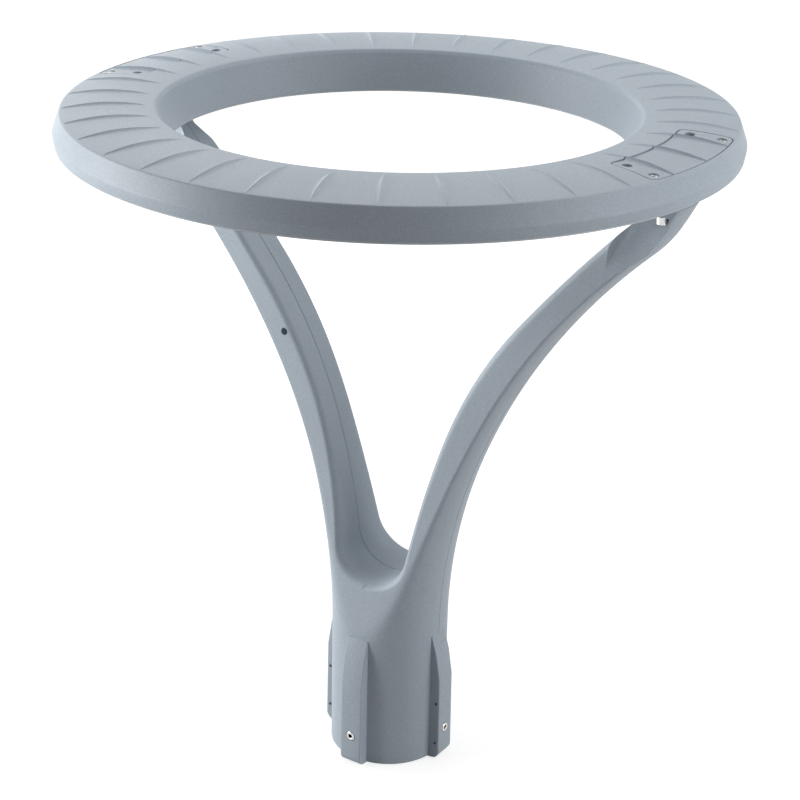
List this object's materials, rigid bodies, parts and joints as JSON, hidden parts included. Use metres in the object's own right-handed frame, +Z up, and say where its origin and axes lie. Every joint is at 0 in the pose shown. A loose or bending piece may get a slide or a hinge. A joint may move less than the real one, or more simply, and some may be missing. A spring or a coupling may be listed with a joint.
{
  "type": "led street light head",
  "caption": "Ring-shaped post-top LED luminaire: a flat domed ring with radial ridges on a two-armed bracket that grows out of a sleeve for the post.",
  "frame": {"origin": "centre of the sleeve's bottom face, on the post's axis", "axes": "+Z up along the post and the ring's axis; the two arms lie in the XZ plane; the bracket's front casting faces -Y"},
  "size_m": [0.5, 0.5, 0.5399],
  "materials": {
    "paint": "fine-textured light blue-grey powder coat",
    "stainless": "bright stainless steel",
    "seal": "dark silicone",
    "diffuser": "opal polycarbonate",
    "board": "white solder mask on an aluminium core",
    "led": "phosphor face",
    "driver_case": "plain plastic case",
    "terminal": "plain plastic"
  },
  "bodies": {
    "root": {"ring_housing": "paint", "bracket_front_casting": "paint", "bracket_rear_cover": "paint", "junction_cover_right": "paint", "junction_cover_left": "paint", "cover_screws_right": "stainless", "cover_screws_left": "stainless", "arm_cap_screws": "stainless", "arm_cap_washers": "stainless", "rear_cover_screws": "stainless", "sleeve_set_screws": "stainless", "board_screws": "stainless", "cover_gasket_right": "seal", "cover_gasket_left": "seal", "diffuser_gasket_inner": "seal", "diffuser_gasket_front": "seal", "diffuser_gasket_rear": "seal", "wire_grommet": "seal", "diffuser_ring": "diffuser", "led_board_1": "board", "led_board_2": "board", "led_board_3": "board", "led_board_4": "board", "led_packages_1": "led", "led_packages_2": "led", "led_packages_3": "led", "led_packages_4": "led", "led_driver": "driver_case", "terminal_block": "terminal"}
  },
  "joints": []
}
